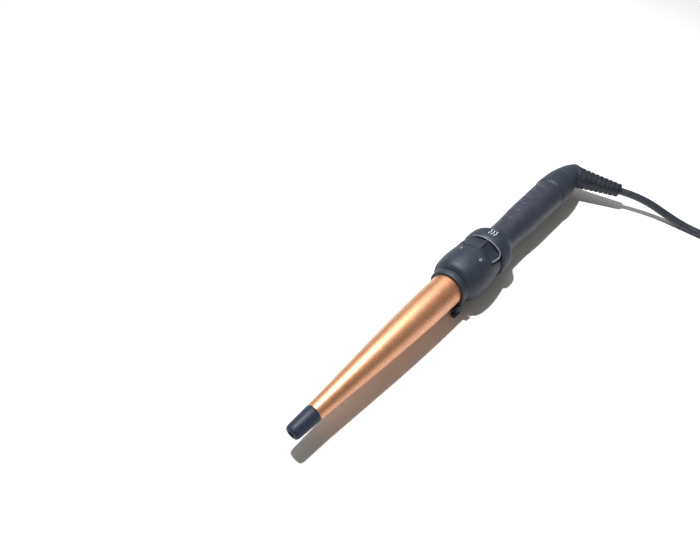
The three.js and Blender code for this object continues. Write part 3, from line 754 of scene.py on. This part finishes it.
class WAND_OT_barrel(bpy.types.Operator):
    """Make the tapered barrel, its cool tip and the collar"""

    bl_idname = "wand.barrel"
    bl_label = "Barrel, tip and collar"

    def execute(self, context):
        sizes = context.scene.wand_sizes
        small, large = sizes.tip_radius / MM, sizes.barrel_radius / MM
        rows = [BARREL_START + 0.3 + i * 2 for i in range(76)]
        outside = [(s, self.taper(s, small, large)) for s in rows]
        inside = [(s, r - 1) for s, r in reversed(outside[::5])]
        profile = [(BARREL_START, small - 0.35), *outside, (BARREL_END, large), *inside]
        barrel = piece("barrel_sleeve", turned(profile, 160, True), finish("barrel_copper"))
        settle(barrel, "wand", "barrel_copper", "barrel")

        nose = [(4.4, 1.3), (4.4, 2.3), (1.1, 2.45)]
        nose += flowing([(0.7, 2.75), (0.35, 3.4), (0.7, 4.4), (1.7, 5.16), (3.4, 5.52)], 5)
        nose += [(5.2, 5.6), (7, 5.67), (11, 5.84), (15, 6.0), (19.3, 6.15), (19.7, 6.0), (19.7, 4.8)]
        nose += [(27, 4.8), (27, 1.3)]
        tip = piece("cool_tip_cover", turned(nose, 96, True), finish("tip_gloss"))
        settle(tip, "wand", "tip_gloss", "cool_tip")
        self.tip_screw()

        ring = [(155, 12.75), (155, 14.3), (155.3, 14.7), (156, 15.0)]
        ring += [(159.9, 15.15), (160.3, 14.9), (160.4, 14.4), (160.4, 12.75)]
        bm = turned(ring, 128, True)
        for side in (-1, 1):
            lug = block((5.2, 2, 7.2), at(155.2) + Vector((0, side * 12.2, -12.4)) * MM)
            low = [e for e in crossways(lug) if e.verts[0].co.z < at(0).z - 14 * MM]
            bevel(lug, low, 2.3, 6)
            round_edges(lug, 0.25, 2, 60)
            add_shape(bm, lug)
        bmesh.ops.recalc_face_normals(bm, faces=bm.faces)
        collar = piece("collar", bm, finish("housing_satin"))
        settle(collar, "wand", "housing_satin", "collar_ring")
        return {"FINISHED"}

    def tip_screw(self):
        """The long screw that holds the cool tip. A thin raised cross stands for its recess."""
        bm = turned([(2.9, 0), (2.9, 1.7), (3.1, 2.0), (4.2, 2.05), (4.2, 1), (34, 1), (34, 0)], 40)
        cut = [(a * 0.3, b * 1.5) for a, b in ((-1, -1), (1, -1), (1, 1), (-1, 1))]
        for flat in (cut, [(b, a) for a, b in cut]):
            slot = cut_out([at(2.84) + Vector((0, y, z)) * MM for y, z in flat], (-0.1 * MM, 0, 0))
            add_shape(bm, slot)
        # Painted shade: the steel screw is coloured dark so that the recess in the tip reads dark.
        screw = piece("tip_screw_painted_shade", bm, finish("screw_black"))
        settle(screw, "wand", "screw_steel", "tip_screw")

    def taper(self, station, small, large):
        """The barrel's radius at a station: it widens fast at first and ends parallel."""
        share = min(max((station - BARREL_START) / BARREL_TAPER, 0), 1)
        return small + (large - small) * math.sin(share**1.1 * math.pi / 2)


class WAND_OT_housing(bpy.types.Operator):
    """Make the two halves of the handle, its rear cap and its screws"""

    bl_idname = "wand.housing"
    bl_label = "Handle"

    def execute(self, context):
        depth = context.scene.wand_sizes.groove_depth
        profile = [(160.8, 13.2), *flowing(BULB, 6), *flowing(FLANGE, 5), *flowing(GRIP, 20)[1:]]
        for name, upper in (("upper_shell", True), ("lower_shell", False)):
            bm = turned(profile, 144)
            for v in bm.verts:
                out = Vector((0, v.co.y, v.co.z - AXIS_HEIGHT * MM)).normalized()
                v.co += out * bulge(station_of(v.co), angle_of(v.co)) * MM
            self.groove(bm, depth)
            side = 1 if upper else -1
            slice_through(bm, at(0) + Vector((0, 0, side * 0.12)) * MM, (0, 0, side), keep_front=True)
            if upper:
                self.window(bm)
            for face in bm.faces:
                face.material_index = int(station_of(face.calc_center_median()) > GRIP_START)
            shell = piece(name, bm, [finish("housing_satin"), finish("grip_soft")], 45)
            modify(shell, "wall", "SOLIDIFY", thickness=1.9 * MM, offset=-1)
            soft = {"segments": 2, "limit_method": "ANGLE", "angle_limit": 0.9}
            modify(shell, "edges", "BEVEL", width=0.25 * MM, **soft)
            settle(shell, "wand", "housing_satin", "upper_housing" if upper else "lower_housing")

        cap = [(299.8, 11.7), (299.8, 11), (296.5, 11), (296.5, 11.5), (299.6, 11.5), (299.6, 12.9)]
        cap += flowing([(299.8, 13.2), (300.8, 13.8), (303, 14.2), (306, 14.15), (311, 13.9)], 4)
        cap += [(317, 13.5), (321.4, 13.1), (321.9, 12.7), (321.9, 8.6), (314, 8.6), (314, 11.7)]
        rear = piece("rear_ring", turned(cap, 128, True), finish("housing_satin"))
        settle(rear, "wand", "housing_satin", "rear_cap")

        for number, (station, radius) in enumerate(SCREW_STATIONS, 1):
            self.screw(number, station, radius)
        return {"FINISHED"}

    def groove(self, bm, depth):
        """Presses the short curved grooves into the -Y side of the grip."""
        for v in bm.verts:
            station, angle = station_of(v.co), angle_of(v.co)
            if station < 230 or not 95 < angle < 215:
                continue
            off = (angle - 155) / 60
            fade = max(0.0, 1 - off * off) ** 0.5
            for centre in GROOVE_STATIONS:
                away = abs(station - centre - 1.8 * off * off)
                if away < 1.3:
                    press = depth * fade * (0.5 + 0.5 * math.cos(math.pi * away / 1.3))
                    out = Vector((0, v.co.y, v.co.z - AXIS_HEIGHT * MM)).normalized()
                    v.co -= out * press

    def window(self, bm):
        """Opens the top of the bulb for the switch."""
        front, back = at(SURROUND[0] - 0.1), at(SURROUND[1] + 0.1)
        reach = (SURROUND_HALF + 0.3) * MM
        for place in (front, back):
            slice_through(bm, place, (1, 0, 0))
        for y in (reach, -reach):
            slice_through(bm, (0, y, 0), (0, 1, 0))
        inside = []
        for face in bm.faces:
            middle = face.calc_center_median()
            if back.x < middle.x < front.x and abs(middle.y) < reach and middle.z > at(0).z:
                inside.append(face)
        bmesh.ops.delete(bm, geom=inside, context="FACES")

    def screw(self, number, station, radius):
        """A pan-head screw, without its cross recess, in a raised rim under the handle."""
        base = at(station, radius, 270)
        down = Vector((0, 0, -1))
        rim = [(0.6, 2.35), (-0.25, 2.4), (-0.35, 2.6), (-0.25, 3.0), (0.6, 3.3)]
        line = [base + (Vector((r, 0, 0)) - down * h) * MM for h, r in rim]
        ring = piece(f"screw_rim_{number}", spun(line, 48, True, base, (0, 0, 1)), finish("housing_satin"))
        settle(ring, "wand", "housing_satin")
        head = [(0.6, 0), (0.6, 2.2), (-0.05, 2.2), (-0.2, 2.0), (-0.28, 1.5), (-0.28, 0)]
        line = [base + (Vector((r, 0, 0)) - down * h) * MM for h, r in head]
        bm = spun(line, 48, False, base, (0, 0, 1))
        screw = piece(f"cross_screw_{number}", bm, finish("screw_steel"))
        settle(screw, "wand", "screw_steel", f"housing_screw_{number}")


class WAND_OT_switch(bpy.types.Operator):
    """Make the switch surround, its rocker and the printed marks"""

    bl_idname = "wand.switch"
    bl_label = "Switch"

    def execute(self, context):
        self.surround()
        self.rocker()
        self.marks()
        return {"FINISHED"}

    def surround(self):
        """A frame that follows the bulb, with a raised rim coloured light grey as a painted highlight."""
        front, back = SURROUND
        rows = [front + (back - front) * i / 12 for i in range(13)]
        bm = turned([(s, height_on(BULB, s) + 0.25) for s in rows], 180)
        for station in OPENING:
            slice_through(bm, at(station), (1, 0, 0))
        for y in (-SURROUND_HALF, -OPENING_HALF, OPENING_HALF, SURROUND_HALF):
            slice_through(bm, (0, y * MM, 0), (0, 1, 0))
        gone = []
        for face in bm.faces:
            middle = face.calc_center_median()
            outside = abs(middle.y) > SURROUND_HALF * MM or middle.z < at(0).z
            between = OPENING[0] < station_of(middle) < OPENING[1]
            if outside or between and abs(middle.y) < OPENING_HALF * MM:
                gone.append(face)
        bmesh.ops.delete(bm, geom=gone, context="FACES")
        frame_piece = piece("switch_surround", bm, finish("switch_black"), 40)
        modify(frame_piece, "wall", "SOLIDIFY", thickness=3.4 * MM, offset=-1)
        soft = {"segments": 3, "limit_method": "ANGLE", "angle_limit": 0.9}
        modify(frame_piece, "edges", "BEVEL", width=0.35 * MM, **soft)
        settle(frame_piece, "wand", "switch_black", "switch_bezel")
        self.rim()

    def rim(self):
        """A raised bead behind the rocker and at its ends, coloured light grey as a painted highlight along
        it.
        """
        corner = [(14.0, 188), (14.4, 190), (14.5, 194), (14.4, 198), (13.4, 199.9), (11, 200.2)]
        near = flowing(corner, 6)
        across = [(y, 200.2) for y in range(10, -11, -1)]
        far = [(-y, s) for y, s in reversed(near)]
        way = [self.over_bulb(y, s) for y, s in (*near, *across, *far)]
        # Painted highlight: the bead is black moulding like the surround, coloured light grey to stand for
        # the light along its edge.
        bead = piece("switch_rim", rod(way, 0.5 * MM, 3), finish("rim_grey"), 60)
        settle(bead, "wand", "switch_black")

    def over_bulb(self, y, station):
        """The point just over the bulb's skin at a distance to the side."""
        radius = height_on(BULB, station) + 0.5 + 1.2 * min(max((station - 198.6) / 1.4, 0), 1)
        return at(station, radius, math.degrees(math.acos(y / radius)))

    def rocker(self):
        """The rocker cap: two pads that fall away from a ridge, tilted so that its 0 side is down."""
        width, length = ROCKER_SIZE
        pin = at(SWITCH_STATION) + Vector((0, 0, SWITCH_PIN_HEIGHT)) * MM
        turn = Matrix.Rotation(math.radians(-ROCKER_REST), 4, "X")
        tilt = Matrix.Translation(pin) @ turn @ Matrix.Translation(-pin)
        bm = bmesh.new()
        bmesh.ops.create_grid(bm, x_segments=16, y_segments=110, size=0.5)
        for v in bm.verts:
            across = v.co.x
            y = v.co.y * length
            v.co = pin + Vector((across * width, y, self.pad(y) - 0.25 * (2 * across) ** 2)) * MM
        rim = [e for e in bm.edges if e.is_boundary]
        made = bmesh.ops.extrude_edge_only(bm, edges=rim)
        low = [g for g in made["geom"] if isinstance(g, bmesh.types.BMVert)]
        for v in low:
            v.co.z = min(v.co.z, pin.z) - 1.2 * MM
        bmesh.ops.holes_fill(bm, edges=[e for e in bm.edges if e.is_boundary], sides=0)
        bmesh.ops.recalc_face_normals(bm, faces=bm.faces)
        round_edges(bm, 0.55, 4, 50)
        bmesh.ops.transform(bm, matrix=tilt, verts=bm.verts)
        rocker = piece("rocker_cap", bm, finish("switch_black"), 30)
        settle(rocker, "rocker", "switch_black", "rocker_switch")

    def pad(self, y):
        """The height of the rocker's top above its pin."""
        share = abs(y) / (ROCKER_SIZE[1] / 2)
        dish = 0.45 * math.sin(math.pi * min(max((share - 0.06) / 0.94, 0), 1))
        bar = 0.75 * min(max((1.45 - abs(y)) / 0.25, 0), 1)
        return 9.1 - 3.8 * share**1.25 - dish + bar

    def marks(self):
        """Pad-printed marks: 0 and I beside the switch, and a heat sign on the flange."""
        ring = [(1.15 * math.cos(t * math.tau / 24), 0.78 * math.sin(t * math.tau / 24)) for t in range(24)]
        middle = 64 * 19.4 * math.pi / 180
        self.stroke("mark_0", [(180.2 + a, middle + b) for a, b in [*ring, ring[0]]], 19.4, 0.3)
        middle = 117 * 19.4 * math.pi / 180
        self.stroke("mark_I", [(180.3 + i * 0.275, middle) for i in range(9)], 19.4, 0.48)
        for number, off in enumerate((-2.2, 0, 2.2), 1):
            middle = 89 * 18.9 * math.pi / 180 + off
            wave = [(205.8 + i * 0.3, middle + 0.5 * math.sin(i * 0.3 * math.tau / 4.2)) for i in range(23)]
            self.stroke(f"mark_heat_{number}", wave, 18.9, 0.55)

    def stroke(self, name, line, radius, width):
        """A printed line that lies on the round surface: stations and distances round it, in millimetres."""
        bm = bmesh.new()
        outside = flowing(BULB, 6) + flowing(FLANGE, 5)
        left, right = [], []
        for i, (s, arc) in enumerate(line):
            before, after = line[max(i - 1, 0)], line[min(i + 1, len(line) - 1)]
            if line[0] == line[-1] and i in (0, len(line) - 1):
                before, after = line[-2], line[1]
            run = Vector((after[0] - before[0], after[1] - before[1])).normalized()
            aside = Vector((-run.y, run.x)) * width / 2
            for store, sign in ((left, 1), (right, -1)):
                a, b = s + aside.x * sign, arc + aside.y * sign
                turn = math.degrees(b / radius)
                height = height_on(outside, a) + bulge(a, turn) + 0.05
                store.append(bm.verts.new(at(a, height, turn)))
        for a, b, c, d in zip(left, left[1:], right[1:], right):
            bm.faces.new((a, b, c, d))
        bmesh.ops.remove_doubles(bm, verts=bm.verts, dist=0.000001)
        bmesh.ops.recalc_face_normals(bm, faces=bm.faces)
        middles = [(f.normal, f.calc_center_median()) for f in bm.faces]
        if sum(normal.dot(m - at(station_of(m))) for normal, m in middles) < 0:
            bmesh.ops.reverse_faces(bm, faces=bm.faces)
        mark = piece(name, bm, finish("print_ink"))
        modify(mark, "ink", "SOLIDIFY", thickness=0.12 * MM, offset=-0.4)
        settle(mark, "wand", "housing_satin")


class WAND_OT_rest(bpy.types.Operator):
    """Make the fold-down rest under the collar"""

    bl_idname = "wand.rest"
    bl_label = "Fold-down rest"

    def execute(self, context):
        side = [(0, -19.6), (7.2, -19.6), (9.0, -19.1), (10.2, -17.6), (10.75, -15.4), (10.9, -12.6)]
        side += [(9.8, -12.6)]
        for turn in (37.5, 31, 24, 16, 8, 0):
            side.append((15.9 * math.sin(math.radians(turn)), -15.9 * math.cos(math.radians(turn))))
        outline = [*side, *((-y, z) for y, z in reversed(side[1:-1]))]
        points = [at(155.2) + Vector((0, y, z)) * MM for y, z in outline]
        bm = cut_out(points, (-3.2 * MM, 0, 0))
        round_edges(bm, 0.3, 3, 40)
        for sign in (-1, 1):
            centre = at(REST_PIVOT[0]) + Vector((0, sign * 9.95, REST_PIVOT[1])) * MM
            turn = Matrix.Translation(centre) @ Matrix.Rotation(math.radians(90), 4, "X")
            knuckle = bmesh.new()
            radius = 1.85 * MM
            bmesh.ops.create_cone(
                knuckle,
                cap_ends=True,
                segments=40,
                radius1=radius,
                radius2=radius,
                depth=1.9 * MM,
                matrix=turn,
            )
            round_edges(knuckle, 0.2, 2, 60)
            add_shape(bm, knuckle)
            foot = [(9.2, -19.6), (13.2, -19.6), (13.15, -18.9), (12.2, -17.5), (10.9, -16.8), (9.2, -16.8)]
            sole = cut_out([at(151.5) + Vector((0, sign * y, z)) * MM for y, z in foot], (-6.9 * MM, 0, 0))
            round_edges(sole, 0.3, 3, 30)
            add_shape(bm, sole)
        bmesh.ops.recalc_face_normals(bm, faces=bm.faces)
        rest = piece("fold_rest", bm, finish("housing_satin"))
        settle(rest, "rest", "housing_satin", "rest_stand")
        return {"FINISHED"}


class WAND_OT_inner_parts(bpy.types.Operator):
    """Give every CAD part that stays its own material"""

    bl_idname = "wand.inner_parts"
    bl_label = "Inner parts"

    def execute(self, context):
        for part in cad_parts.values():
            if part.hide_render:
                continue
            for holder in part.material_slots:
                name = holder.material.name.split(".")[0] if holder.material else ""
                if name not in FINISHES:
                    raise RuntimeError(f"{part.name} has no slot that is known here: {name!r}")
                holder.material = finish(name)
        return {"FINISHED"}


class WAND_PT_panel(bpy.types.Panel):
    """Lists the pieces of the wand in the sidebar"""

    bl_idname = "WAND_PT_panel"
    bl_label = "Curling wand"
    bl_space_type = "VIEW_3D"
    bl_region_type = "UI"
    bl_category = "Curling wand"

    def draw(self, context):
        column = self.layout.column()
        for name in WandSizes.__annotations__:
            column.prop(context.scene.wand_sizes, name)
        for name in WandFinishes.__annotations__:
            column.prop(context.scene.wand_finishes, name)
        for operator in OPERATORS:
            column.operator(operator.bl_idname)


OPERATORS = (
    WAND_OT_stage,
    WAND_OT_swivel,
    WAND_OT_cord,
    WAND_OT_barrel,
    WAND_OT_housing,
    WAND_OT_switch,
    WAND_OT_rest,
    WAND_OT_inner_parts,
)
CLASSES = (WandSizes, WandFinishes, *OPERATORS, WAND_PT_panel)


def register():
    for cls in CLASSES:
        bpy.utils.register_class(cls)
    bpy.types.Scene.wand_sizes = PointerProperty(type=WandSizes)
    bpy.types.Scene.wand_finishes = PointerProperty(type=WandFinishes)


def unregister():
    del bpy.types.Scene.wand_finishes
    del bpy.types.Scene.wand_sizes
    for cls in reversed(CLASSES):
        bpy.utils.unregister_class(cls)


def main():
    register()
    bpy.ops.wand.stage()
    bpy.ops.wand.swivel()
    bpy.ops.wand.cord()
    bpy.ops.wand.barrel()
    bpy.ops.wand.housing()
    bpy.ops.wand.switch()
    bpy.ops.wand.rest()
    bpy.ops.wand.inner_parts()


if __name__ == "__main__":
    main()
